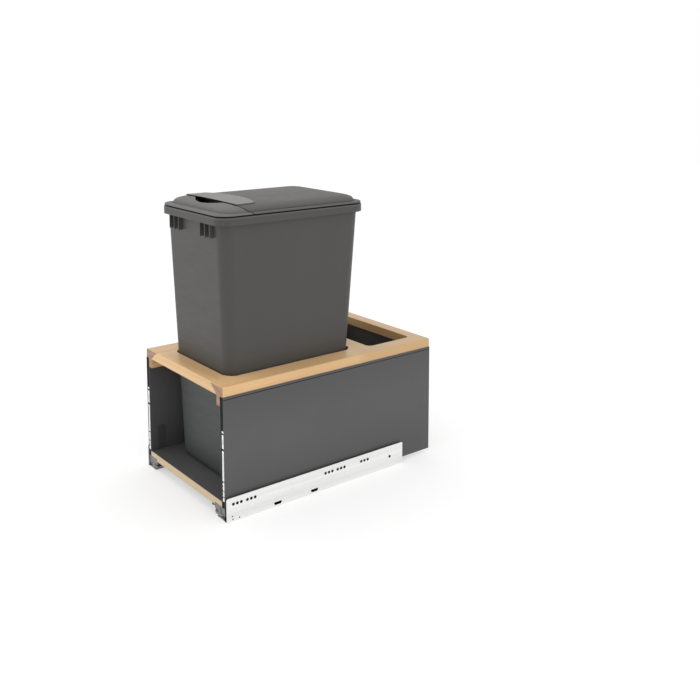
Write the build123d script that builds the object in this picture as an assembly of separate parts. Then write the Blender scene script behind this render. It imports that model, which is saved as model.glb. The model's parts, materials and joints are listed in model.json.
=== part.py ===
from build123d import *
import math
import os

os.makedirs("parts", exist_ok=True)

# ------------------------------------------------------------------
# Driving dimensions, millimetres.
# Frame: X across the unit, Y from the front (low) to the back, Z up.
# Origin: middle of the footprint, on the plane of the runner undersides.
# y values below are measured from the front edge of the drawer sides.
# ------------------------------------------------------------------
CLEAR_W = 343.0        # clear width between the cabinet walls
SIDE_GAP = 6.2         # cabinet wall to the outer face of a drawer side
W = CLEAR_W - 2 * SIDE_GAP
L = 540.0              # depth of the drawer
SIDE_T = 12.8          # thickness of a double-wall drawer side
SKIN = 0.8             # sheet thickness of the side skins
SIDE_Z0 = 10.1         # lower edge of the drawer sides
SIDE_Z1 = 251.1        # upper edge of the drawer sides (241 mm tall)
WOOD_T = 19.0          # thickness of the wooden frame above the sides
WOOD_Z1 = SIDE_Z1 + WOOD_T
RAIL_W = 47.6          # width of a side rail seen from above
LEG_Z0 = 230.6         # lower edge of the leg of a side rail
BEVEL_X = 140.2        # inner face of that leg
FRONT_RAIL = 40.3      # depth of the front rail
CROSS_Y0, CROSS_Y1 = 355.5, 392.5   # cross rail between the two openings
REAR_Y0, REAR_Y1 = 512.0, 539.4     # rear rail
OPEN_R = 25.0          # corner radius of the bin opening, cut from the front and cross rails
REAR_X, REAR_R = 127.5, 12.0   # half width and corner radius of the rear opening
PANEL_Z0, PANEL_Z1 = 22.2, 38.2     # bottom panel
RABBET_X = 125.6       # start of the rabbet under each edge of the panel
RABBET_Z = 27.3        # underside of the panel in the rabbet
RUN_H = 48.3           # height of the runner's outer plate
RUN_Y0, RUN_Y1 = 0.6, 454.0
RUN_T = 1.5
HOLE_R = 3.2           # screw holes of the outer plate
HOLE_Z = 35.0
HOLE_ROWS = (24.5, 56.5, 248.5, 280.5, 344.5)   # 32 mm grid, three holes each
HOLE_PITCH = 9.0
BIN_YC = 203.0         # middle of the rim and the lid
BIN_Z0 = PANEL_Z1
BIN_RIM_Z0, BIN_RIM_Z1 = 574.2, 590.8
BIN_BOT = (214.6, 282.6, 22.0, 192.6)   # width, depth, corner radius, middle at the bottom
BIN_TOP = (241.0, 343.5, 26.0, 202.8)   # the same under the rim
RIM = (259.0, 362.0, 30.0)
BIN_T = 2.4
LID_Z0, LID_Z1 = 591.15, 596.5      # flange of the lid
FLANGE_IN = 1.2        # flange edge to rim edge
DOME_H = 17.0
TRAVEL = 500.0         # full extension of the drawer

OY = -L / 2


# ------------------------------------------------------------------
# helpers
# ------------------------------------------------------------------
def bx(x0, x1, y0, y1, z0, z1):
    return Pos((x0 + x1) / 2, (y0 + y1) / 2 + OY, (z0 + z1) / 2) * Box(x1 - x0, y1 - y0, z1 - z0)


def prism_y(pts, y0, y1):
    """Polygon of (x, z) points carried along Y."""
    f = make_face(Polyline(*[(x, y0 + OY, z) for x, z in pts], close=True))
    return extrude(f, amount=y1 - y0, dir=(0, 1, 0))


def prism_x(pts, x0, x1):
    """Polygon of (y, z) points carried along X."""
    f = make_face(Polyline(*[(x0, y + OY, z) for y, z in pts], close=True))
    return extrude(f, amount=x1 - x0, dir=(1, 0, 0))


def prism_z(pts, z0, z1):
    """Polygon of (x, y) points carried along Z."""
    f = make_face(Polyline(*[(x, y + OY, z0) for x, y in pts], close=True))
    return extrude(f, amount=z1 - z0, dir=(0, 0, 1))


def rr(w, d, r, yc, z):
    return Pos(0, yc + OY, z) * RectangleRounded(w, d, r)


def rr_prism(x0, x1, y0, y1, r, z0, z1):
    s = Pos((x0 + x1) / 2, (y0 + y1) / 2 + OY, z0) * RectangleRounded(x1 - x0, y1 - y0, r)
    return extrude(s, amount=z1 - z0, dir=(0, 0, 1))


def cyl_x(r, x0, x1, y, z):
    return Pos((x0 + x1) / 2, y + OY, z) * Rot(0, 90, 0) * Cylinder(r, abs(x1 - x0))


def cyl_y(r, y0, y1, x, z):
    return Pos(x, (y0 + y1) / 2 + OY, z) * Rot(90, 0, 0) * Cylinder(r, abs(y1 - y0))


def cyl_z(r, z0, z1, x, y):
    return Pos(x, y + OY, (z0 + z1) / 2) * Cylinder(r, abs(z1 - z0))


def mir(s):
    return mirror(s, about=Plane.YZ)


def save(name, shape):
    export_step(shape, "parts/" + name + ".step")


def save_lr(name, right):
    save(name + "_right", right)
    save(name + "_left", mir(right))


def group(*shapes):
    solids = []
    for s in shapes:
        solids += list(s.solids())
    return Compound(children=solids)


# ------------------------------------------------------------------
# Runner, cabinet side (fixed). Right hand shown, left is its mirror.
# ------------------------------------------------------------------
XR = CLEAR_W / 2
bracket = bx(XR - RUN_T, XR, RUN_Y0, RUN_Y1, 0, RUN_H)
bracket = fillet(bracket.edges().filter_by(Axis.X).group_by(Axis.Y)[0].sort_by(Axis.Z)[-1], 4.0)
bracket = fillet(bracket.edges().filter_by(Axis.X).group_by(Axis.Y)[-1].sort_by(Axis.Z)[-1], 2.0)
for yc in HOLE_ROWS:
    for k in (-1, 0, 1):
        bracket -= cyl_x(HOLE_R, XR - 4, XR + 2, yc + k * HOLE_PITCH, HOLE_Z)
bracket -= cyl_x(HOLE_R, XR - 4, XR + 2, 416.5, 24.6)
# D shaped windows, flat edge up, round edge down
for yc in (119.3, 210.5):
    d = Pos(XR - 1, yc + OY, 9.3) * Rot(0, 90, 0) * Cylinder(9.2, 6)
    d = d & bx(XR - 4, XR + 2, yc - 9.2, yc + 9.2, 3.4, 9.3)
    bracket -= d
# small locating holes near the front lower corner
for yc, zc in ((13.2, 10.3), (14.0, 4.2), (29.0, 4.2)):
    bracket -= cyl_x(1.4, XR - 4, XR + 2, yc, zc)
save_lr("cabinet_bracket", bracket)

# guide channel: floor flange beside the plate, floor, two uprights, two lips
chan = prism_y([(135.0, 1.5), (163.8, 1.5), (163.8, 11.3), (156.5, 11.3), (156.5, 10.1), (162.6, 10.1),
                (162.6, 2.7), (136.2, 2.7), (136.2, 10.1), (143.5, 10.1), (143.5, 11.3), (135.0, 11.3)], 27.0, 454.0)
chan += bx(134.0, XR - RUN_T - 0.05, RUN_Y0, RUN_Y1, 0, RUN_T)
save_lr("guide_channel", chan)

# rubber stop behind the centre member
stop = bx(142.0, 158.0, 449.0, 453.8, 2.7, 9.6)
stop = fillet(stop.edges().filter_by(Axis.X).group_by(Axis.Y)[0], 1.5)
save_lr("end_stop", stop)

# soft-close unit beside the channel: housing with a long groove, and its catch
hous = bx(112.0, 135.0, 300.0, 446.0, 2.6, 16.4)
hous = fillet(hous.edges().filter_by(Axis.Z), 2.5)
hous -= bx(118.0, 126.0, 299.0, 436.0, 11.5, 17.0)
for k in range(5):
    hous -= bx(128.2, 133.0, 312.0 + 26 * k, 330.0 + 26 * k, 13.0, 17.0)
save_lr("soft_close_housing", hous)
catch = bx(119.0, 125.0, 397.2, 410.0, 11.5, 18.2)
catch = chamfer(catch.edges().filter_by(Axis.X).group_by(Axis.Z)[-1].sort_by(Axis.Y)[-1], 3.0)
save_lr("soft_close_catch", catch)

# ------------------------------------------------------------------
# Centre member: I section with a hollow web
# ------------------------------------------------------------------
cm = bx(140.5, 160.0, 30.0, 448.0, 7.7, 8.9) + bx(140.5, 160.0, 30.0, 448.0, 16.5, 17.7)
cm += bx(145.5, 155.0, 30.0, 448.0, 8.8, 16.6)
cm -= bx(146.7, 153.8, 29.0, 449.0, 9.6, 15.8)
for yc in (70.0, 239.0, 408.0):
    cm -= cyl_z(3.0, 16.0, 18.5, 150.25, yc)
save_lr("centre_member", cm)


# roller cages: thin strip with windows, rollers lie in the windows
def cage(y0, y1, zc, n, r):
    strip = bx(141.2, 159.3, y0, y1, zc - 0.8, zc + 0.8)
    strip = fillet(strip.edges().filter_by(Axis.Z), 2.0)
    pitch = (y1 - y0 - 20.0) / (n - 1)
    rollers = []
    for i in range(n):
        yc = y0 + 10.0 + i * pitch
        strip -= bx(143.0, 157.5, yc - r - 0.25, yc + r + 0.25, zc - 2, zc + 2)
        rollers.append(cyl_x(r, 143.3, 157.2, yc, zc))
    return strip, group(*rollers)


lo_cage, lo_roll = cage(158.0, 318.0, 5.2, 5, 2.3)
up_cage, up_roll = cage(160.0, 405.0, 21.25, 7, 3.3)
save_lr("lower_roller_cage", lo_cage)
save_lr("lower_rollers", lo_roll)
save_lr("upper_roller_cage", up_cage)
save_lr("upper_rollers", up_roll)

# ------------------------------------------------------------------
# Drawer member: inverted channel under the rabbet of the panel
# ------------------------------------------------------------------
SCREW_Y = (60.0, 160.0, 270.0, 380.0, 480.0)
dm = prism_y([(137.0, 26.3), (163.2, 26.3), (163.2, 12.9), (156.8, 12.9), (156.8, 14.1), (162.0, 14.1), (162.0, 24.8),
              (138.2, 24.8), (138.2, 14.1), (143.5, 14.1), (143.5, 12.9), (137.0, 12.9)], 25.0, 535.0)
save_lr("drawer_member", dm)

hook = bx(120.0, 137.0, 391.5, 396.8, 17.3, 19.9) + bx(120.0, 124.0, 391.5, 396.8, 12.6, 19.9)
save_lr("closing_hook", hook)

# gray plastic housing at the front end of the drawer member
LEV_X, LEV_Y = 133.2, 17.0
fh = bx(144.0, 164.0, 0.4, 24.6, 2.2, 26.2) + bx(125.9, 153.9, 0.4, 24.6, 5.0, 27.1)
fh = fillet(fh.edges().filter_by(Axis.Y).group_by(Axis.X)[0].sort_by(Axis.Z)[0], 6.0)
fh -= bx(150.0, 160.0, -1.0, 9.0, 4.4, 8.2)
fh -= bx(147.0, 161.5, -1.0, 1.6, 11.5, 23.5)
fh -= bx(124.0, 138.6, -1.0, 21.6, 10.4, 15.0)
fh -= cyl_z(1.55, 4.0, 20.0, LEV_X, LEV_Y)
save_lr("front_catch_housing", fh)
lever = cyl_z(3.4, 10.9, 14.5, LEV_X, LEV_Y) + bx(131.0, 135.4, 2.0, 17.0, 10.9, 14.5)
lever += bx(128.6, 137.4, 0.6, 4.0, 10.9, 14.5)
lever -= cyl_z(1.55, 10.0, 16.0, LEV_X, LEV_Y)
save_lr("release_lever", lever)
pin = cyl_z(1.5, 5.6, 19.6, LEV_X, LEV_Y)
save("lever_pins", group(pin, mir(pin)))

# ------------------------------------------------------------------
# Drawer sides: outer skin, inner skin with a ledge for the panel,
# black front block with a zinc fixing, end cap, cover cap
# ------------------------------------------------------------------
XO = W / 2                 # outer face
XI = XO - SIDE_T           # inner face
outer = bx(XO - SKIN, XO, 0.0, 537.0, SIDE_Z0, SIDE_Z1)
outer -= bx(XO - 0.5, XO + 1, -1.0, 538.0, SIDE_Z1 - 6.3, SIDE_Z1 - 4.85)
save_lr("side_outer_skin", outer)

XJ = 155.0                 # lower wall of the inner skin, outside the panel edge
inner = prism_y([(XI, SIDE_Z1), (XO - SKIN - 0.1, SIDE_Z1), (XO - SKIN - 0.1, SIDE_Z1 - SKIN), (XI + SKIN, SIDE_Z1 - SKIN),
                 (XI + SKIN, 39.2), (XJ, 39.2), (XJ, 26.4), (126.2, 26.4), (126.2, 27.2), (XJ - SKIN, 27.2), (XJ - SKIN, 38.4),
                 (XI, 38.4)], 0.0, 537.0)
inner -= bx(XI - 1, XI + 2, 18.0, 30.0, 46.0, 87.0)
FRAME_SCREW_Y = (60.0, 270.0, 480.0)
for yc in FRAME_SCREW_Y:
    inner -= cyl_x(1.9, XI - 1, XI + 3, yc, 240.5)
for yc in SCREW_Y:
    inner -= cyl_z(1.7, 25.0, 28.0, 131.6, yc)
# the ledge is cut back over the front catch housing
inner -= bx(120.0, 165.0, -1.0, 25.0, 25.5, 27.3)
save_lr("side_inner_skin", inner)

block = bx(XI + SKIN + 0.1, XO - SKIN - 0.1, 0.8, 26.0, 40.0, SIDE_Z1 - SKIN - 0.1)
block += bx(XJ + 0.2, XO - SKIN - 0.1, 0.8, 26.0, 26.5, 40.5)
block -= bx(157.1, 163.5, 0.0, 6.0, 40.0, 183.0)
save_lr("front_block", block)

zinc = bx(157.2, 163.4, 0.6, 5.8, 40.2, 182.8)
zinc = fillet(zinc.edges().filter_by(Axis.Y), 1.6)
for zc in (145.0, 177.0):
    zinc -= cyl_y(2.1, -1.0, 7.0, 160.3, zc)
zinc -= bx(159.2, 161.4, -1.0, 7.0, 156.0, 165.0)
for k in range(5):
    zinc -= bx(156.0, 158.8, -1.0, 7.0, 45.0 + 8.0 * k, 48.6 + 8.0 * k)
zinc -= bx(159.0, 161.6, 0.0, 1.6, 88.0, 138.0)
save_lr("front_fixing", zinc)

cap = bx(XI - 1.2, XI, 15.0, 33.0, 41.0, 92.0)
cap = fillet(cap.edges().filter_by(Axis.X), 3.0)
cap = fillet(cap.faces().sort_by(Axis.X)[0].edges(), 0.5)
save_lr("cover_cap", cap)

ecap = bx(XI, XO, 537.05, 540.0, 26.8, SIDE_Z1) + bx(164.2, XO, 537.05, 540.0, SIDE_Z0, 27.0)
ecap += bx(XJ + 0.2, XO - SKIN - 0.1, 528.0, 538.0, 26.8, SIDE_Z1 - SKIN - 0.1)
save_lr("side_end_cap", ecap)

# ------------------------------------------------------------------
# Bottom panel and back panel
# ------------------------------------------------------------------
panel = bx(-154.0, 154.0, 0.0, 536.5, PANEL_Z0, PANEL_Z1)
for s in (-1, 1):
    a, b = sorted((s * RABBET_X, s * 155.0))
    panel -= bx(a, b, -1.0, 538.0, PANEL_Z0 - 1, RABBET_Z)
    for yc in SCREW_Y:
        panel -= cyl_z(1.55, 20.0, 35.4, s * 131.6, yc)
save("bottom_panel", panel)

clip = bx(115.6, 125.4, 0.0, 11.0, PANEL_Z0 - 2.5, PANEL_Z0) + bx(115.6, 118.0, 0.0, 11.0, PANEL_Z0 - 4.3, PANEL_Z0)
clip = chamfer(clip.edges().filter_by(Axis.Y).group_by(Axis.X)[0].sort_by(Axis.Z)[0], 0.8)
save("panel_clips", group(clip, mir(clip)))

psc = []
for yc in SCREW_Y:
    s = cyl_z(2.9, 24.6, 26.3, 131.6, yc) + cyl_z(1.5, 26.0, 35.2, 131.6, yc)
    s -= bx(129.8, 133.4, yc - 0.4, yc + 0.4, 24.0, 25.3) + bx(131.2, 132.0, yc - 1.8, yc + 1.8, 24.0, 25.3)
    psc += [s, mir(s)]
save("panel_screws", group(*psc))

BACK_Y0, BACK_Y1 = 518.0, 534.0
back = bx(-152.2, 152.2, BACK_Y0, BACK_Y1, PANEL_Z1, SIDE_Z1)
BACK_Z = (80.0, 150.0, 216.0)
for s in (-1, 1):
    a, b = sorted((s * (BEVEL_X - 0.4), s * 153.0))
    back -= bx(a, b, BACK_Y0 - 1, BACK_Y1 + 1, LEG_Z0 - 0.3, SIDE_Z1 + 1)
    for zc in BACK_Z:
        back -= cyl_y(1.55, BACK_Y1 - 11.0, BACK_Y1 + 1, s * 132.0, zc)
save("back_panel", back)

brk = bx(116.0, 152.2, BACK_Y1 + 0.05, BACK_Y1 + 1.35, 56.0, 228.0)
brk += bx(150.9, 152.2, BACK_Y1 + 0.05, 539.2, 56.0, 228.0)
brk = fillet(brk.edges().filter_by(Axis.Y).group_by(Axis.X)[0], 4.0)
for zc in BACK_Z:
    brk -= cyl_y(1.7, 530.0, 540.0, 132.0, zc)
save_lr("back_bracket", brk)
bsc = []
for zc in BACK_Z:
    s = cyl_y(3.0, BACK_Y1 + 1.35, BACK_Y1 + 3.2, 132.0, zc) + cyl_y(1.5, BACK_Y1 - 10.6, BACK_Y1 + 1.6, 132.0, zc)
    s -= bx(130.0, 134.0, 536.4, 538.0, zc - 0.4, zc + 0.4) + bx(131.6, 132.4, 536.4, 538.0, zc - 2.0, zc + 2.0)
    bsc += [s, mir(s)]
save("back_screws", group(*bsc))

# ------------------------------------------------------------------
# Wooden frame on top: L section side rails with a bevelled inner face,
# front, cross and rear rails butted between them on dowels
# ------------------------------------------------------------------
XW = XO - 1.0              # outer face of the wood
XE = XO - RAIL_W - 1.0     # inner edge of the side rails on top
side_rail = prism_y([(XW, SIDE_Z1 + 0.05), (XW, WOOD_Z1), (XE + 0.6, WOOD_Z1), (XE + 0.4, WOOD_Z1 - 0.34), (BEVEL_X, SIDE_Z1),
                     (BEVEL_X, LEG_Z0), (XI - 0.2, LEG_Z0), (XI - 0.2, SIDE_Z1 + 0.05)], 0.0, REAR_Y1)
side_rail = fillet(side_rail.edges().filter_by(Axis.Y).group_by(Axis.X)[-1].sort_by(Axis.Z)[-1], 4.0)
side_rail = fillet(side_rail.edges().filter_by(Axis.X).group_by(Axis.Y)[0].sort_by(Axis.Z)[-1], 1.4)
DOWEL_Y = (22.0, 373.0, 526.0)
DOWEL_Z = 261.0
for yc in DOWEL_Y:
    side_rail -= cyl_x(4.05, 100.0, 145.0, yc, DOWEL_Z)
for yc in FRAME_SCREW_Y:
    side_rail -= cyl_x(1.9, 130.0, 160.0, yc, 240.5)


def eased(x, y0, y1, r, z0):
    """Opening with its top edge eased."""
    c, e = (y0 + y1) / 2, 0.5
    rim = loft([rr(2 * x, y1 - y0, r, c, WOOD_Z1 - e), rr(2 * (x + 2 * e), y1 - y0 + 4 * e, r + 2 * e, c, WOOD_Z1 + e)], ruled=True)
    return rr_prism(-x, x, y0, y1, r, z0, 280.0) + rim


bin_hole = eased(XE, FRONT_RAIL, CROSS_Y0, OPEN_R, 240.0)
rear_hole = eased(REAR_X, CROSS_Y1, REAR_Y0, REAR_R, 250.0)
side_rail -= rear_hole
save("top_side_rail_right", side_rail)
save("top_side_rail_left", mir(side_rail))

GAP = 0.12


def trap(y0, y1):
    half = [(XE - GAP - 0.5, WOOD_Z1), (XE - GAP + 0.47, WOOD_Z1 - 0.4), (BEVEL_X - GAP, SIDE_Z1)]
    return prism_y(half + [(-x, z) for x, z in reversed(half)], y0, y1)


def dowel_cut(shape, yc):
    shape -= cyl_x(4.05, 107.0, 146.0, yc, DOWEL_Z)
    shape -= cyl_x(4.05, -146.0, -107.0, yc, DOWEL_Z)
    return shape


ARC = OPEN_R - 9.0      # the corner arc ends blunt at the joint
front_rail = trap(0.0, FRONT_RAIL + ARC)
front_rail = fillet(front_rail.edges().filter_by(Axis.X).group_by(Axis.Y)[0].sort_by(Axis.Z)[-1], 4.5)
front_rail = dowel_cut(front_rail - bin_hole, DOWEL_Y[0])
cross_rail = dowel_cut(trap(CROSS_Y0 - ARC, CROSS_Y1) - bin_hole - rear_hole, DOWEL_Y[1])
rear_rail = dowel_cut(trap(REAR_Y0, REAR_Y1) - rear_hole, DOWEL_Y[2])
save("top_front_rail", front_rail)
save("top_cross_rail", cross_rail)
save("top_rear_rail", rear_rail)

dow = []
for yc in DOWEL_Y:
    d = chamfer(cyl_x(4.0, 108.0, 144.0, yc, DOWEL_Z).edges(), 0.8)
    dow += [d, mir(d)]
save("frame_dowels", group(*dow))
fsc = []
for yc in FRAME_SCREW_Y:
    s = cyl_x(3.6, BEVEL_X - 1.9, BEVEL_X, yc, 240.5) + cyl_x(1.75, BEVEL_X - 0.2, 157.0, yc, 240.5)
    s = fillet(s.edges().filter_by(GeomType.CIRCLE).sort_by(Axis.X)[0], 1.0)
    s -= bx(137.0, 139.3, yc - 0.45, yc + 0.45, 238.4, 242.6) + bx(137.0, 139.3, yc - 2.1, yc + 2.1, 240.05, 240.95)
    fsc += [s, mir(s)]
save("frame_screws", group(*fsc))


# ------------------------------------------------------------------
# Bin: tapered tub with a rolled rim, fins under the front of the rim
# ------------------------------------------------------------------
def body_at(z, inset):
    t = (z - BIN_Z0) / (BIN_RIM_Z0 - BIN_Z0)
    w = BIN_BOT[0] + (BIN_TOP[0] - BIN_BOT[0]) * t - 2 * inset
    d = BIN_BOT[1] + (BIN_TOP[1] - BIN_BOT[1]) * t - 2 * inset
    r = BIN_BOT[2] + (BIN_TOP[2] - BIN_BOT[2]) * t - inset
    return rr(w, d, r, BIN_BOT[3] + (BIN_TOP[3] - BIN_BOT[3]) * t, z)


outer_b = loft([body_at(BIN_Z0, 0), body_at(BIN_RIM_Z1 - 1.0, 0)], ruled=True)
outer_b = fillet(outer_b.faces().sort_by(Axis.Z)[0].edges(), 9.0)
inner_b = loft([body_at(BIN_Z0 + 3.0, BIN_T), body_at(BIN_RIM_Z1 + 3.0, BIN_T)], ruled=True)
rim_o = extrude(rr(RIM[0], RIM[1], RIM[2], BIN_YC, BIN_RIM_Z0), amount=BIN_RIM_Z1 - BIN_RIM_Z0)
rim_o = fillet(rim_o.faces().sort_by(Axis.Z)[-1].edges(), 2.4)
rim_i = extrude(rr(RIM[0] - 4.8, RIM[1] - 4.8, RIM[2] - 2.4, BIN_YC, BIN_RIM_Z0 - 1), amount=BIN_RIM_Z1 - BIN_RIM_Z0 - 1.6)
tub = outer_b + (rim_o - rim_i)
Y_RIM = BIN_YC - RIM[1] / 2
for xc in (45.2, 64.3, 83.4):
    for s in (-1, 1):
        tub += bx(s * xc - 1.1, s * xc + 1.1, Y_RIM + 0.8, 34.0, 546.5, 588.6)
tub -= inner_b
save("bin", tub)


# ------------------------------------------------------------------
# Lid: flange with a front hood and finger scoop, and the rear flap
# ------------------------------------------------------------------
FW, FD, FR = RIM[0] - 2 * FLANGE_IN, RIM[1] - 2 * FLANGE_IN, RIM[2] - FLANGE_IN
DX, DY0, DY1 = FW / 2 - 10.0, BIN_YC - FD / 2 + 16.8, BIN_YC + FD / 2 - 14.0
# sections of the dome: height over the flange, inset at the sides, front and rear, corner radius
DOME = ((0.0, 0.0, 0.0, 0.0, 24.0), (2.5, 0.5, 0.8, 0.5, 23.6), (5.0, 1.4, 2.1, 1.4, 23.0), (7.3, 2.9, 4.6, 2.9, 22.2),
        (9.1, 5.0, 8.0, 5.0, 21.4), (10.9, 8.5, 13.2, 8.5, 20.8), (12.7, 15.0, 20.8, 13.6, 21.0), (14.4, 33.0, 31.0, 21.0, 24.0),
        (15.8, 60.0, 42.0, 30.0, 26.0), (DOME_H, 92.0, 54.0, 42.0, 20.0))


def smooth(rows, step):
    """Monotone curve through the rows, with `step` stations for each row interval."""
    u = [0.0]
    for a, b in zip(rows, rows[1:]):
        u.append(u[-1] + math.hypot(b[0] - a[0], b[1] - a[1]))
    cols = []
    for c in zip(*rows):
        h = [b - a for a, b in zip(u, u[1:])]
        d = [(b - a) / k for a, b, k in zip(c, c[1:], h)]
        m = [d[0]] + [0.0 if p * q <= 0 else 2 * p * q / (p + q) for p, q in zip(d, d[1:])] + [d[-1]]
        out = []
        for i in range(len(h)):
            for k in range(step):
                t = k / step
                out.append((2 * t ** 3 - 3 * t ** 2 + 1) * c[i] + (t ** 3 - 2 * t ** 2 + t) * h[i] * m[i]
                           + (3 * t ** 2 - 2 * t ** 3) * c[i + 1] + (t ** 3 - t ** 2) * h[i] * m[i + 1])
        cols.append(out + [c[-1]])
    return list(zip(*cols))


def dome(t):
    rows = smooth(DOME, 2)
    secs = []
    for i, (dz, side, front, rear, r) in enumerate(rows):
        a, b = rows[max(i - 1, 0)], rows[min(i + 1, len(rows) - 1)]
        ang = math.atan2(b[1] - a[1], b[0] - a[0]) if 0 < i < len(rows) - 1 else (0.0 if i == 0 else math.pi / 2)
        k = t * math.cos(ang)
        x, y0, y1 = DX - side - k, DY0 + front + k, DY1 - rear - k
        secs.append(rr(2 * x, y1 - y0, min(r - k, x - 0.2), (y0 + y1) / 2, LID_Z1 + dz - t * math.sin(ang)))
    return loft(secs, ruled=True)


dome_o = dome(0.0)
dome_i = dome(2.2) + rr_prism(-DX + 2.2, DX - 2.2, DY0 + 2.2, DY1 - 2.2, 21.8, LID_Z1 - 6, LID_Z1 + 0.02)
SEAM = ((61.0, 619.0), (105.0, 589.0))   # leaning parting line of the flap
behind = prism_x([SEAM[0], (400.0, 619.0), (400.0, 589.0), SEAM[1]], -150, 150)
ahead = prism_x([(0.0, 619.0), (SEAM[0][0] - 0.9, 619.0), (SEAM[1][0] - 0.9, 589.0), (0.0, 589.0)], -150, 150)

# flap with the raised handle strip
ZT = LID_Z1 + DOME_H
lens = make_face([Line((-104, 66 + OY, 604), (104, 66 + OY, 604)), Line((104, 66 + OY, 604), (100.5, 118 + OY, 604)),
                  ThreePointArc((100.5, 118 + OY, 604), (0, 137 + OY, 604), (-100.5, 118 + OY, 604)),
                  Line((-100.5, 118 + OY, 604), (-104, 66 + OY, 604))])
strip = extrude(lens, amount=12, dir=(0, 0, 1)) & prism_x([(60.0, 603.0), (60.0, ZT + 0.7), (138.0, ZT + 0.08), (138.0, 603.0)], -120, 120)
crown = make_face([Line((-120, OY, 603), (120, OY, 603)), Line((120, OY, 603), (120, OY, ZT - 2.3)),
                   ThreePointArc((120, OY, ZT - 2.3), (0, OY, ZT + 0.6), (-120, OY, ZT - 2.3)), Line((-120, OY, ZT - 2.3), (-120, OY, 603))])
strip = strip & extrude(crown, amount=200, dir=(0, 1, 0))
flap = ((dome_o + strip) & behind) - dome_i
flap -= bx(-150, 150, 0, 400, 590.0, LID_Z1 + 0.4)
flap -= bx(-150, 150, DY1 - 2.6, 400, 590.0, LID_Z1 + 1.0)
HY, HZ = DY1 - 1.2, LID_Z1 + 2.6      # hinge line of the flap
for s in (-1, 1):
    for a, b in ((43.4, 50.2), (69.8, 76.6)):
        x0, x1 = sorted((s * a, s * b))
        flap -= bx(x0, x1, HY - 4.5, 390.0, 590.0, HZ + 4.4)
    x0, x1 = sorted((s * 50.2, s * 69.8))
    flap += cyl_x(2.2, x0, x1, HY, HZ) + bx(x0, x1, HY - 1.4, HY + 0.6, HZ, HZ + 3.0)
    flap -= cyl_x(1.25, x0 - 1, x1 + 1, HY, HZ)
save("lid_flap", flap)

# flange with a recessed outer underside and a groove round the dome, locating skirt, hood and scoop cup
frame = extrude(rr(FW, FD, FR, BIN_YC, LID_Z0), amount=LID_Z1 - LID_Z0)
frame = fillet(frame.faces().sort_by(Axis.Z)[-1].edges(), 3.2)
step = extrude(rr(FW + 4, FD + 4, FR + 2, BIN_YC, LID_Z0 - 1), amount=2.5)
step -= extrude(rr(FW - 11, FD - 11, FR - 5.5, BIN_YC, LID_Z0 - 2), amount=5)
frame -= step
moat = rr_prism(-DX - 1.3, DX + 1.3, DY0 - 1.3, DY1 + 1.3, 25.3, LID_Z1 - 1.2, LID_Z1 + 2)
moat -= rr_prism(-DX, DX, DY0, DY1, 24.0, LID_Z1 - 2, LID_Z1 + 3)
frame -= moat
skirt = extrude(rr(231.0, 337.0, 20.0, 202.8, 580.0), amount=LID_Z0 - 580.0 + 0.5)
skirt -= extrude(rr(226.6, 332.6, 17.8, 202.8, 579.0), amount=30.0)
opening = rr_prism(-107.0, 107.0, 46.0, 361.0, 14.0, 585.0, LID_Z1 + 1)
frame = frame + skirt - opening
hood = (dome_o & ahead) - dome_i
SC_R, SC_Y = 92.0, 143.5
moon_o = cyl_z(SC_R + 2.2, 594.6, 622.0, 0, SC_Y) & bx(-100, 100, 40.0, 102.2, 594.0, 623.0)
moon_i = cyl_z(SC_R, 596.8, 627.0, 0, SC_Y) & bx(-100, 100, 40.0, 100.0, 595.0, 628.0)
cup = (moon_o & bx(-100, 100, 40, 110, 594.0, 603.0)) + (moon_o & dome_o & ahead)
hood = (hood + cup) - moon_i
frame = frame + hood
frame += bx(-109.0, -76.0, 96.0, 100.0, LID_Z0 + 0.6, 596.2) + bx(76.0, 109.0, 96.0, 100.0, LID_Z0 + 0.6, 596.2)
for s in (-1, 1):
    for a, b in ((44.0, 50.0), (70.0, 76.0)):
        x0, x1 = sorted((s * a, s * b))
        frame += cyl_x(2.5, x0, x1, HY, HZ) + bx(x0, x1, HY - 2.5, HY + 2.5, LID_Z1 - 2, HZ)
    x0, x1 = sorted((s * 44.0, s * 76.0))
    frame -= cyl_x(1.22, x0 - 1, x1 + 1, HY, HZ)
save("lid_frame", frame)
pins = []
for s in (-1, 1):
    x0, x1 = sorted((s * 44.0, s * 76.0))
    pins.append(cyl_x(1.2, x0, x1, HY, HZ))
save("lid_hinge_pins", group(*pins))

print("nodes", len([f for f in os.listdir("parts") if f.endswith(".step")]))
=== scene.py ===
import json
import math

import bpy
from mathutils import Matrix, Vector

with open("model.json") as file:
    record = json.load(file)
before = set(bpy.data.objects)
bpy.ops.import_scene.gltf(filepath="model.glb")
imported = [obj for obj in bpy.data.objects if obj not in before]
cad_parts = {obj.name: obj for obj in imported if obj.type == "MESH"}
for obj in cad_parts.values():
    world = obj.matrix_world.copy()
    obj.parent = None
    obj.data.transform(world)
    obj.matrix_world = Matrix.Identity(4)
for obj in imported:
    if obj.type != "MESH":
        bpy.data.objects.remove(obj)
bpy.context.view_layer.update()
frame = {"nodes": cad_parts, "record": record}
NODES = frame["nodes"]


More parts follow.
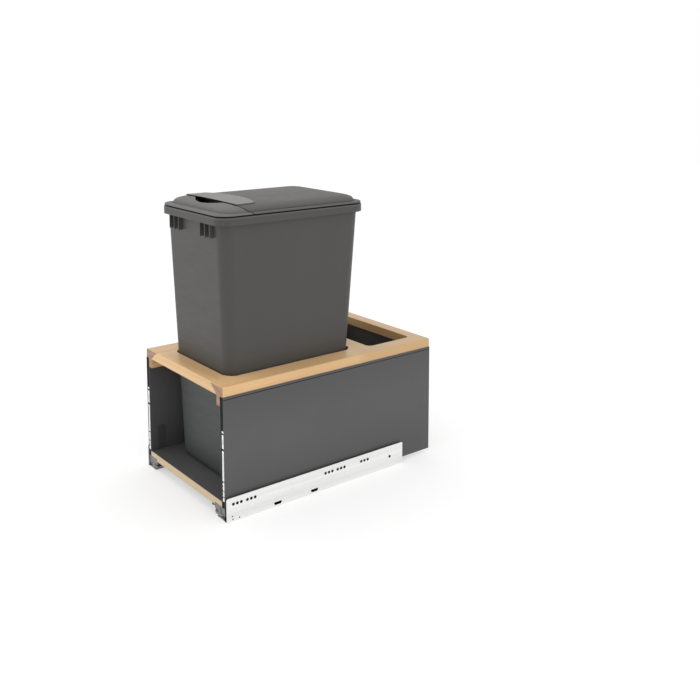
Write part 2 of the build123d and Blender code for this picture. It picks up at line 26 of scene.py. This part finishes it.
# ------------------------------------------------------------------
# node helpers
# ------------------------------------------------------------------
class Graph:
    def __init__(self, name):
        self.mat = bpy.data.materials.new(name)
        self.mat.use_nodes = True
        self.t = self.mat.node_tree
        self.t.nodes.clear()
        self.out = self.t.nodes.new("ShaderNodeOutputMaterial")
        self.b = self.t.nodes.new("ShaderNodeBsdfPrincipled")
        self.t.links.new(self.b.outputs[0], self.out.inputs[0])
        self.coord = self.t.nodes.new("ShaderNodeTexCoord").outputs["Object"]

    def link(self, a, b):
        self.t.links.new(a, b)

    def put(self, sock, v):
        if hasattr(v, "is_linked") or isinstance(v, bpy.types.NodeSocket):
            self.link(v, sock)
        else:
            sock.default_value = v

    def scale(self, v, s, off=(0, 0, 0), rot=(0, 0, 0)):
        n = self.t.nodes.new("ShaderNodeMapping")
        self.link(v, n.inputs["Vector"])
        n.inputs["Location"].default_value = off
        n.inputs["Rotation"].default_value = rot
        n.inputs["Scale"].default_value = s
        return n.outputs[0]

    def noise(self, v, scale=1.0, detail=4.0, rough=0.55, dist=0.0, col=False):
        n = self.t.nodes.new("ShaderNodeTexNoise")
        self.link(v, n.inputs["Vector"])
        n.inputs["Scale"].default_value = scale
        n.inputs["Detail"].default_value = detail
        n.inputs["Roughness"].default_value = rough
        n.inputs["Distortion"].default_value = dist
        return n.outputs["Color" if col else "Fac"]

    def voro(self, v, scale=1.0, feature="F1", rand=1.0, out="Distance"):
        n = self.t.nodes.new("ShaderNodeTexVoronoi")
        n.feature = feature
        self.link(v, n.inputs["Vector"])
        n.inputs["Scale"].default_value = scale
        n.inputs["Randomness"].default_value = rand
        return n.outputs[out]

    def ramp(self, fac, stops, interp="LINEAR"):
        n = self.t.nodes.new("ShaderNodeValToRGB")
        n.color_ramp.interpolation = interp
        els = n.color_ramp.elements
        while len(els) > 2:
            els.remove(els[-1])
        for i, (p, c) in enumerate(stops):
            e = els[i] if i < 2 else els.new(p)
            e.position = p
            e.color = c if len(c) == 4 else (*c, 1)
        self.link(fac, n.inputs["Fac"])
        return n.outputs["Color"]

    def grey(self, fac, lo, hi, v0=0.0, v1=1.0):
        n = self.t.nodes.new("ShaderNodeMapRange")
        n.clamp = True
        self.link(fac, n.inputs["Value"])
        n.inputs["From Min"].default_value = lo
        n.inputs["From Max"].default_value = hi
        n.inputs["To Min"].default_value = v0
        n.inputs["To Max"].default_value = v1
        return n.outputs["Result"]

    def math(self, op, a, b=None, clamp=False):
        n = self.t.nodes.new("ShaderNodeMath")
        n.operation = op
        n.use_clamp = clamp
        self.put(n.inputs[0], a)
        if b is not None:
            self.put(n.inputs[1], b)
        return n.outputs[0]

    def mix(self, fac, a, b, mode="MIX"):
        n = self.t.nodes.new("ShaderNodeMix")
        n.data_type = "RGBA"
        n.blend_type = mode
        self.put(n.inputs[0], fac)
        self.put(n.inputs[6], a if not isinstance(a, tuple) else (*a[:3], 1))
        self.put(n.inputs[7], b if not isinstance(b, tuple) else (*b[:3], 1))
        return n.outputs[2]

    def bump(self, height, strength, dist, normal=None):
        n = self.t.nodes.new("ShaderNodeBump")
        n.inputs["Strength"].default_value = strength
        n.inputs["Distance"].default_value = dist
        self.link(height, n.inputs["Height"])
        if normal is not None:
            self.link(normal, n.inputs["Normal"])
        return n.outputs[0]

    def axes(self, v):
        n = self.t.nodes.new("ShaderNodeSeparateXYZ")
        self.link(v, n.inputs[0])
        return n.outputs

    def normal_axes(self):
        n = self.t.nodes.new("ShaderNodeNewGeometry")
        vt = self.t.nodes.new("ShaderNodeVectorTransform")
        vt.vector_type = "NORMAL"
        vt.convert_from = "WORLD"
        vt.convert_to = "OBJECT"
        self.link(n.outputs["True Normal"], vt.inputs[0])
        return self.axes(vt.outputs[0])

    def set(self, **kw):
        names = {"color": "Base Color", "rough": "Roughness", "metal": "Metallic", "spec": "Specular IOR Level",
                 "ior": "IOR", "normal": "Normal", "coat": "Coat Weight", "coat_rough": "Coat Roughness",
                 "coat_ior": "Coat IOR", "sheen": "Sheen Weight", "aniso": "Anisotropic", "sss": "Subsurface Weight",
                 "coat_normal": "Coat Normal"}
        for k, v in kw.items():
            s = self.b.inputs[names[k]]
            self.put(s, (*v[:3], 1) if isinstance(v, tuple) and k == "color" else v)
        return self.mat


# ------------------------------------------------------------------
# materials
# ------------------------------------------------------------------
def powder_coat(name, color, rough=0.42, grain=1.0, hem_shade_band=None):
    """Painted sheet: fine orange peel, faint clouding, slightly varied gloss."""
    g = Graph(name)
    cloud = g.noise(g.coord, 9.0, 3.0, 0.5)
    fine = g.noise(g.coord, 1900.0, 2.0, 0.6)
    peel = g.noise(g.coord, 520.0, 2.0, 0.5)
    c = Vector(color)
    col = g.mix(g.grey(cloud, 0.35, 0.65), tuple(c * 0.955), tuple(c * 1.045))
    col = g.mix(g.grey(fine, 0.3, 0.75, 0.0, 0.10), col, tuple(c * 1.5))
    rv = g.grey(g.noise(g.coord, 26.0, 4.0, 0.6), 0.3, 0.7, rough - 0.04, rough + 0.05)
    n = g.bump(fine, 0.16 * grain, 0.00012)
    n = g.bump(peel, 0.10 * grain, 0.00035, n)
    if hem_shade_band is not None:
        z = g.axes(g.coord)[2]
        # Painted shade: the side darkens towards its top edge under the wood and towards its bottom edge.
        edge_shade = g.math("ADD", g.grey(z, 0.17, 0.235, 0.0, 0.9), g.grey(z, 0.05, 0.13, 0.9, 0.0))
        col = g.mix(edge_shade, col, tuple(c * 0.83 for c in color))
        # Painted shade: a near-black line in the hem groove under the wood.
        line = g.math("MULTIPLY", g.grey(z, hem_shade_band[0] - 0.0002, hem_shade_band[0]), g.grey(z, hem_shade_band[1], hem_shade_band[1] + 0.0002, 1.0, 0.0))
        col = g.mix(line, col, (0.006, 0.006, 0.007))
    return g.set(color=col, rough=rv, spec=0.42, normal=n)


def strip_mask(g):
    """Plan of the raised handle strip on the lid: straight front, bowed rear edge."""
    ax = g.axes(g.coord)
    y = g.math("ADD", ax[1], 0.27)
    r = g.math("SQRT", g.math("ADD", g.math("POWER", ax[0], 2.0), g.math("POWER", g.math("ADD", y, 0.1383), 2.0)))
    m = g.grey(r, 0.2749, 0.2756, 1.0, 0.0)
    side = g.math("ADD", g.math("ABSOLUTE", ax[0]), g.math("MULTIPLY", g.math("SUBTRACT", y, 0.066), 0.0673))
    m = g.math("MULTIPLY", m, g.grey(side, 0.1037, 0.1041, 1.0, 0.0))
    m = g.math("MULTIPLY", m, g.grey(y, 0.0655, 0.0665))
    m = g.math("MULTIPLY", m, g.grey(ax[2], 0.6085, 0.6090))
    return g.math("MULTIPLY", m, g.grey(g.normal_axes()[2], 0.6, 0.8))


def plastic(name, color, rough=0.45, grain=1.0, scale=1300.0, cloud=0.035, spec=0.42, extra=None):
    """Moulded polypropylene: spark-eroded grain, faint flow marks, small scuffs."""
    g = Graph(name)
    c = Vector(color)
    big = g.noise(g.scale(g.coord, (5, 5, 2.0)), 1.4, 3.0, 0.55, 0.6)
    grainv = g.voro(g.coord, scale, "SMOOTH_F1")
    fine = g.noise(g.coord, scale * 1.9, 2.0, 0.6)
    col = g.mix(g.grey(big, 0.32, 0.68), tuple(c * (1 - cloud)), tuple(c * (1 + cloud)))
    col = g.mix(g.grey(fine, 0.35, 0.8, 0.0, 0.14), col, tuple(c * 1.45))
    scuff = g.noise(g.scale(g.coord, (18, 18, 90), rot=(0.5, 0.3, 0.2)), 1.0, 5.0, 0.7)
    rv = g.grey(scuff, 0.35, 0.75, rough - 0.03, rough + 0.07)
    h = g.math("ADD", g.math("MULTIPLY", grainv, 0.7), g.math("MULTIPLY", fine, 0.5))
    n = g.bump(h, 0.20 * grain, 0.00016)
    if extra is not None:
        col = extra(g, col)
    return g.set(color=col, rough=rv, spec=spec, normal=n)


def lid_extra(g, col):
    """Painted light: the front hood, its flange and the handle strip are lighter. Painted shade: a dark line along the
    seam between hood and flap and in the scoop, and near black below the flange top in the lid gap.
    """
    ax = g.axes(g.coord)
    y = g.math("ADD", ax[1], 0.27)
    # Painted light: the front hood and flange, in front of the seam plane, are painted lighter.
    side = g.math("ADD", g.math("MULTIPLY", g.math("SUBTRACT", y, 0.061), 0.5634), g.math("MULTIPLY", g.math("SUBTRACT", ax[2], 0.619), 0.8263))
    lit = g.math("MULTIPLY", g.grey(side, -0.001, 0.001, 1.0, 0.0), g.grey(ax[2], 0.5925, 0.5932))
    col = g.mix(g.math("MULTIPLY", lit, 0.62), col, (0.172, 0.167, 0.157))
    # Painted shade: a dark line along the seam between hood and flap.
    seam_shade = g.grey(g.math("ABSOLUTE", side), 0.0009, 0.0012, 1.0, 0.0)
    # Painted light: the handle strip is painted lighter.
    col = g.mix(strip_mask(g), col, (0.220, 0.214, 0.201))
    col = g.mix(g.math("MULTIPLY", seam_shade, 0.9), col, (0.012, 0.012, 0.012))
    # Painted shade: near black below the flange top, in the gap over the rim.
    gap_shade = g.grey(ax[2], 0.5925, 0.5932, 1.0, 0.0)
    return g.mix(gap_shade, col, (0.004, 0.004, 0.004))


def bin_extra(g, col):
    """Painted highlight on the upper rim edge; painted shade, near black on the rim top in the lid gap, bluish dark on
    the body below the wood top, and darker towards the foot.
    """
    z = g.axes(g.coord)[2]
    # Painted highlight on the rim's top edge.
    rim_highlight = g.math("MULTIPLY", g.grey(z, 0.5868, 0.5880), g.grey(z, 0.5896, 0.5903, 1.0, 0.0))
    col = g.mix(g.math("MULTIPLY", rim_highlight, 0.5), col, (0.115, 0.110, 0.103))
    # Painted shade: near black on the rim top, in the gap under the lid.
    col = g.mix(g.grey(z, 0.5896, 0.5903), col, (0.004, 0.004, 0.004))
    # Painted shade: bluish dark on the body below the wood top, inside the frame.
    col = g.mix(g.grey(z, 0.205, 0.238, 1.0, 0.0), col, (0.0360, 0.0390, 0.0390))
    # Painted shade: darker along the foot.
    return g.mix(g.grey(z, 0.040, 0.056, 0.75, 0.0), col, (0.012, 0.012, 0.012))


def housing_extra(g, col):
    """Lower outer part of the catch housing is nearly black; its top band, in the recesses under the panel, is painted
    nearly black as shade.
    """
    ax = g.axes(g.coord)
    out = g.math("MULTIPLY", g.grey(g.math("ABSOLUTE", ax[0]), 0.1575, 0.1582), g.grey(ax[2], 0.0105, 0.0112, 1.0, 0.0))
    # Painted shade: the top band under the panel is painted nearly black.
    top = g.grey(ax[2], 0.0255, 0.0260)
    return g.mix(g.math("MAXIMUM", out, top), col, (0.008, 0.008, 0.008))


def runner_extra(g, col):
    """Walls of the punched holes lie in shade."""
    ax = g.axes(g.coord)
    nx = g.normal_axes()
    wall = g.grey(g.math("ABSOLUTE", nx[0]), 0.5, 0.7, 1.0, 0.0)
    inside = g.math("MULTIPLY", g.grey(ax[2], 0.0012, 0.0016), g.grey(ax[2], 0.0405, 0.0410, 1.0, 0.0))
    inside = g.math("MULTIPLY", inside, g.math("MULTIPLY", g.grey(ax[1], -0.267, -0.2665), g.grey(ax[1], 0.180, 0.181, 1.0, 0.0)))
    return g.mix(g.math("MULTIPLY", wall, inside), col, (0.01, 0.01, 0.01))


def channel_extra(g, col):
    """Painted shade: the outer upright of the channel is painted near black behind the plate's windows."""
    ax = g.axes(g.coord)
    # Painted shade behind the plate's windows.
    m = g.math("MULTIPLY", g.grey(g.math("ABSOLUTE", ax[0]), 0.1629, 0.1632), g.grey(ax[2], 0.0002, 0.0004))
    return g.mix(m, col, (0.01, 0.01, 0.01))


def fixing_extra(g, col):
    """Breaks in the bright fixing: near-black bands of painted shade where the slots and their screws sit."""
    z = g.axes(g.coord)[2]
    m = None
    # Painted shade: near-black bands at the slots and screws.
    for a, b in ((0.1755, 0.1785), (0.1432, 0.1472), (0.0795, 0.0815), (0.0600, 0.0612), (0.0490, 0.0502)):
        k = g.math("MULTIPLY", g.grey(z, a - 0.0003, a), g.grey(z, b, b + 0.0003, 1.0, 0.0))
        m = k if m is None else g.math("MAXIMUM", m, k)
    return g.mix(m, col, (0.01, 0.01, 0.01))


def zinc(name, color=(0.82, 0.82, 0.81), along="Y", rough=0.33, extra=None, metal=0.92):
    """Bright plated sheet: rolling streaks along the length, faint spangle, tiny pits."""
    g = Graph(name)
    c = Vector(color)
    sc = {"Y": (260, 5, 260), "Z": (260, 260, 5), "X": (5, 260, 260)}[along]
    streak = g.noise(g.scale(g.coord, sc), 1.0, 5.0, 0.65)
    wide = g.noise(g.scale(g.coord, tuple(s * 0.16 for s in sc)), 1.0, 3.0, 0.6)
    spangle = g.voro(g.coord, 210.0, "F1", 1.0, "Color")
    sp = g.axes(spangle)[0]
    col = g.mix(g.grey(wide, 0.3, 0.7), tuple(c * 0.90), tuple(c * 1.06))
    col = g.mix(g.grey(sp, 0.0, 1.0, 0.0, 0.16), col, tuple(c * 0.80))
    col = g.mix(g.grey(streak, 0.45, 0.75, 0.0, 0.28), col, tuple(c * 0.74))
    rv = g.math("ADD", g.grey(streak, 0.3, 0.7, rough - 0.05, rough + 0.08), g.grey(sp, 0.0, 1.0, -0.03, 0.03))
    n = g.bump(streak, 0.14, 0.00010)
    n = g.bump(g.noise(g.coord, 1500.0, 2.0, 0.5), 0.05, 0.00010, n)
    if extra is not None:
        col = extra(g, col)
    return g.set(color=col, rough=rv, metal=metal, spec=0.5, normal=n)


def wood(name, along="Y", light=(0.71, 0.470, 0.232), dark=(0.50, 0.28, 0.120), coat=0.30, seed=0.0):
    """Clear lacquered maple: long soft figure, fine fibres, short flecks, ring arcs on end grain."""
    g = Graph(name)
    L, D = Vector(light), Vector(dark)
    if along == "Y":
        long_s, fib_s, fleck_s = (11, 0.55, 11), (420, 5.5, 420), (330, 26, 330)
    else:
        long_s, fib_s, fleck_s = (0.55, 11, 11), (5.5, 420, 420), (26, 330, 330)
    wob = g.noise(g.scale(g.coord, tuple(s * 0.5 for s in long_s), off=(seed, seed * 2, 0)), 1.0, 3.0, 0.5, col=True)
    wobv = g.t.nodes.new("ShaderNodeVectorMath")
    wobv.operation = "MULTIPLY_ADD"
    g.link(wob, wobv.inputs[0])
    wobv.inputs[1].default_value = (0.035, 0.035, 0.035)
    g.link(g.coord, wobv.inputs[2])
    bent = wobv.outputs[0]
    # growth figure: rings of a log whose centre lies well below the board
    rings = g.t.nodes.new("ShaderNodeTexWave")
    rings.wave_type = "RINGS"
    rings.rings_direction = along
    rings.wave_profile = "SAW"
    off = (0.0, 0.0, 0.35) if along == "Y" else (0.0, 0.12, 0.35)
    ringv = g.scale(bent, (1, 0.05, 1) if along == "Y" else (0.05, 1, 1), off=off)
    g.link(ringv, rings.inputs["Vector"])
    rings.inputs["Scale"].default_value = 26.0
    rings.inputs["Distortion"].default_value = 2.2
    rings.inputs["Detail"].default_value = 3.0
    rings.inputs["Detail Scale"].default_value = 1.1
    rings.inputs["Detail Roughness"].default_value = 0.6
    fig = g.grey(rings.outputs["Fac"], 0.15, 1.0, 0.0, 1.0)
    figure = g.noise(g.scale(bent, long_s), 1.0, 5.0, 0.6)
    fibre = g.noise(g.scale(g.coord, fib_s), 1.0, 4.0, 0.7)
    fleck = g.noise(g.scale(g.coord, fleck_s), 1.0, 2.0, 0.5)
    board = g.noise(g.scale(g.coord, (3.5, 3.5, 3.5), off=(seed, 0, 0)), 1.0, 2.0, 0.5)
    col = g.mix(g.grey(figure, 0.30, 0.72, 0.0, 0.75), tuple(L * 1.13), tuple(L * 0.5 + D * 0.5))
    col = g.mix(g.math("MULTIPLY", fig, 0.26), col, tuple(D))
    col = g.mix(g.grey(fibre, 0.42, 0.78, 0.0, 0.30), col, tuple(D * 0.95))
    col = g.mix(g.grey(fibre, 0.20, 0.42, 0.22, 0.0), col, tuple(L * 1.22))
    col = g.mix(g.grey(fleck, 0.66, 0.76, 0.0, 0.42), col, tuple(D * 0.70))
    col = g.mix(g.grey(board, 0.3, 0.7, 0.0, 0.18), col, (0.64, 0.37, 0.20))
    # wood turns darker and browner by depth towards the back, a ramp set by position
    yb = g.math("ADD", g.axes(g.coord)[1], 0.27)
    back = g.math("ADD", g.grey(yb, 0.05, 0.20, 0.0, 0.45), g.grey(yb, 0.33, 0.36, 0.0, 0.50))
    col = g.mix(back, col, tuple(c * k for c, k in zip(L * 0.65 + D * 0.35, (0.85, 0.86, 0.87))))
    # end grain: darker, redder, with pores
    nx = g.normal_axes()
    endm = g.grey(g.math("ABSOLUTE", nx[1] if along == "Y" else nx[0]), 0.72, 0.9)
    pore = g.noise(g.coord, 1500.0, 2.0, 0.7)
    endc = g.mix(g.grey(fig, 0.1, 0.95), (0.37, 0.205, 0.110), (0.26, 0.140, 0.072))
    endc = g.mix(g.grey(pore, 0.5, 0.8, 0.0, 0.5), endc, (0.30, 0.15, 0.08))
    col = g.mix(endm, col, endc)
    rv = g.grey(fibre, 0.3, 0.75, 0.42, 0.54)
    n = g.bump(fibre, 0.10, 0.00012)
    n = g.bump(fleck, 0.08, 0.00010, n)
    return g.set(color=col, rough=rv, spec=0.3, normal=n, coat=coat, coat_rough=0.10, coat_ior=1.45)


def board(name, face, edge=(0.66, 0.50, 0.31), glue=(0.30, 0.18, 0.09), ply=0.0015, z0=0.0205, faces="Z", rough=0.38):
    """Plywood panel: dark laminate on both faces, bare plies on the edges."""
    g = Graph(name)
    c = Vector(face)
    ax = g.axes(g.coord)
    nx = g.normal_axes()
    i = {"X": 0, "Y": 1, "Z": 2}[faces]
    is_face = g.grey(g.math("ABSOLUTE", nx[i]), 0.6, 0.8)
    tex = g.noise(g.coord, 700.0, 3.0, 0.6)
    cloud = g.noise(g.coord, 12.0, 3.0, 0.5)
    fcol = g.mix(g.grey(cloud, 0.3, 0.7), tuple(c * 0.93), tuple(c * 1.07))
    fcol = g.mix(g.grey(tex, 0.35, 0.75, 0.0, 0.2), fcol, tuple(c * 1.6))
    layer = g.math("DIVIDE", g.math("SUBTRACT", ax[i], z0), ply)
    wave = g.math("FRACT", g.math("ADD", layer, g.grey(g.noise(g.coord, 60.0, 2.0), 0.3, 0.7, -0.10, 0.10)))
    line = g.grey(g.math("ABSOLUTE", g.math("SUBTRACT", wave, 0.5)), 0.36, 0.47)
    odd = g.grey(g.math("SINE", g.math("MULTIPLY", layer, math.pi)), -0.2, 0.2)
    fib = g.noise(g.scale(g.coord, (40, 40, 900)), 1.0, 4.0, 0.6)
    E = Vector(edge)
    ecol = g.mix(odd, tuple(E * 1.08), tuple(E * 0.86))
    ecol = g.mix(g.grey(fib, 0.4, 0.75, 0.0, 0.4), ecol, tuple(E * 0.66))
    ecol = g.mix(g.math("MULTIPLY", line, 0.62), ecol, glue)
    col = g.mix(is_face, ecol, fcol)
    rv = g.grey(is_face, 0.0, 1.0, 0.62, rough)
    h = g.mix(is_face, fib, tex)
    n = g.bump(h, 0.12, 0.00015)
    return g.set(color=col, rough=rv, spec=0.4, normal=n)


def rubber(name, color=(0.02, 0.02, 0.02)):
    g = Graph(name)
    c = Vector(color)
    sp = g.noise(g.coord, 900.0, 3.0, 0.6)
    col = g.mix(g.grey(sp, 0.3, 0.7), tuple(c * 0.8), tuple(c * 1.5))
    return g.set(color=col, rough=g.grey(sp, 0.3, 0.7, 0.62, 0.78), spec=0.3, normal=g.bump(sp, 0.2, 0.0001))


MATS = {
    "side_steel": powder_coat("side_steel", (0.080, 0.078, 0.080), 0.43, hem_shade_band=(0.2447, 0.2464)),
    "bracket_steel": powder_coat("bracket_steel", (0.07, 0.07, 0.072), 0.45),
    "runner_zinc": zinc("runner_zinc", (0.86, 0.865, 0.84), "Y", 0.40, runner_extra, 0.55),
    "channel_zinc": zinc("channel_zinc", (0.76, 0.77, 0.77), "Y", 0.30, channel_extra),
    "fixing_zinc": zinc("fixing_zinc", (0.93, 0.93, 0.92), "Z", 0.36, fixing_extra, 0.6),
    "screw_steel": zinc("screw_steel", (0.72, 0.72, 0.70), "X", 0.28),
    "pin_steel": zinc("pin_steel", (0.76, 0.76, 0.76), "X", 0.24),
    "black_plastic": plastic("black_plastic", (0.007, 0.007, 0.008), 0.62, 0.8, 1700.0, spec=0.15),
    "end_cap_plastic": plastic("end_cap_plastic", (0.07, 0.07, 0.073), 0.46, 0.8, 1700.0),
    "cap_plastic": plastic("cap_plastic", (0.050, 0.050, 0.052), 0.46, 0.8, 1700.0, spec=0.3),
    "gray_plastic": plastic("gray_plastic", (0.17, 0.172, 0.172), 0.44, 0.9, 1500.0, extra=housing_extra),
    "soft_close_plastic": plastic("soft_close_plastic", (0.14, 0.14, 0.143), 0.44, 0.9, 1500.0),
    "catch_plastic": plastic("catch_plastic", (0.66, 0.66, 0.63), 0.38, 0.6, 1700.0),
    "lever_plastic": plastic("lever_plastic", (0.05, 0.05, 0.052), 0.42, 0.8, 1700.0),
    "cage_plastic": plastic("cage_plastic", (0.55, 0.55, 0.52), 0.38, 0.5, 1700.0),
    "roller_plastic": plastic("roller_plastic", (0.74, 0.74, 0.71), 0.32, 0.4, 1700.0),
    "stop_rubber": rubber("stop_rubber"),
    "wood_lengthwise": wood("wood_lengthwise", "Y"),
    "wood_crosswise": wood("wood_crosswise", "X", seed=1.7),
    "dowel_wood": wood("dowel_wood", "X", coat=0.0, seed=4.1),
    "panel_board": board("panel_board", (0.087, 0.086, 0.087), edge=(0.64, 0.50, 0.325), z0=0.0222),
    "back_board": board("back_board", (0.085, 0.084, 0.086), z0=0.248, faces="Y"),
    "bin_plastic": plastic("bin_plastic", (0.053, 0.0515, 0.048), 0.46, 1.0, 1250.0, spec=0.40, extra=bin_extra),
    "lid_plastic": plastic("lid_plastic", (0.105, 0.1010, 0.0950), 0.58, 1.0, 1250.0, spec=0.24, extra=lid_extra),
}
for sp in frame["record"]["subparts"]:
    o = NODES[sp["node"]]
    m = MATS[sp["material_slot"]]
    for s in o.material_slots:
        s.material = m

# ------------------------------------------------------------------
# floor, light, camera
# ------------------------------------------------------------------
bpy.ops.mesh.primitive_plane_add(size=14.0, location=(0, 0, -0.0004))
floor = bpy.context.object
floor.name = "floor"
gf = Graph("floor_paper")
fn = gf.noise(gf.coord, 60.0, 4.0, 0.6)
fcol = gf.mix(gf.grey(fn, 0.3, 0.7), (0.50, 0.50, 0.50), (0.52, 0.52, 0.52))
floor.data.materials.append(gf.set(color=fcol, rough=0.85, spec=0.1))
gf.b.inputs["Emission Color"].default_value = (1.0, 1.0, 1.0, 1.0)
gf.b.inputs["Emission Strength"].default_value = 0.50

world = bpy.data.worlds.new("studio")
bpy.context.scene.world = world
world.use_nodes = True
world.node_tree.nodes["Background"].inputs[0].default_value = (1.0, 1.0, 1.0, 1)
world.node_tree.nodes["Background"].inputs[1].default_value = 1.0


def area(name, loc, target, size, power, color=(1, 1, 1)):
    d = bpy.data.lights.new(name, "AREA")
    d.shape = "RECTANGLE"
    d.size, d.size_y = size
    d.energy = power
    d.color = color
    o = bpy.data.objects.new(name, d)
    bpy.context.scene.collection.objects.link(o)
    o.location = loc
    o.rotation_euler = (Vector(target) - Vector(loc)).to_track_quat("-Z", "Y").to_euler()
    return o


area("key_top", (0.3, -0.6, 2.8), (0, 0, 0.3), (2.6, 2.6), 9)
area("left_box", (-1.6, -2.4, 1.3), (0, 0, 0.3), (1.6, 2.0), 7)
area("right_box", (2.7, 0.9, 1.2), (0, 0, 0.3), (1.6, 2.0), 6)

cam = bpy.data.cameras.new("cam")
cam.sensor_width = 36.0
cam.sensor_fit = "HORIZONTAL"
cam.lens = 36.0 * 901.9447 / 700.0
cam.shift_x = 0.0
cam.shift_y = -(350.0 - 188.838) / 700.0
cam.clip_start = 0.05
cam.clip_end = 40.0
camo = bpy.data.objects.new("cam", cam)
bpy.context.scene.collection.objects.link(camo)
camo.location = (1.62299, -1.10838, 0.85875)
camo.rotation_euler = (math.pi / 2 - 0.1222374, 0.0, 0.9037715)
bpy.context.scene.camera = camo

vs = bpy.context.scene.view_settings
vs.view_transform = "Standard"
vs.look = "None"
vs.exposure = 0.0
vs.gamma = 1.0
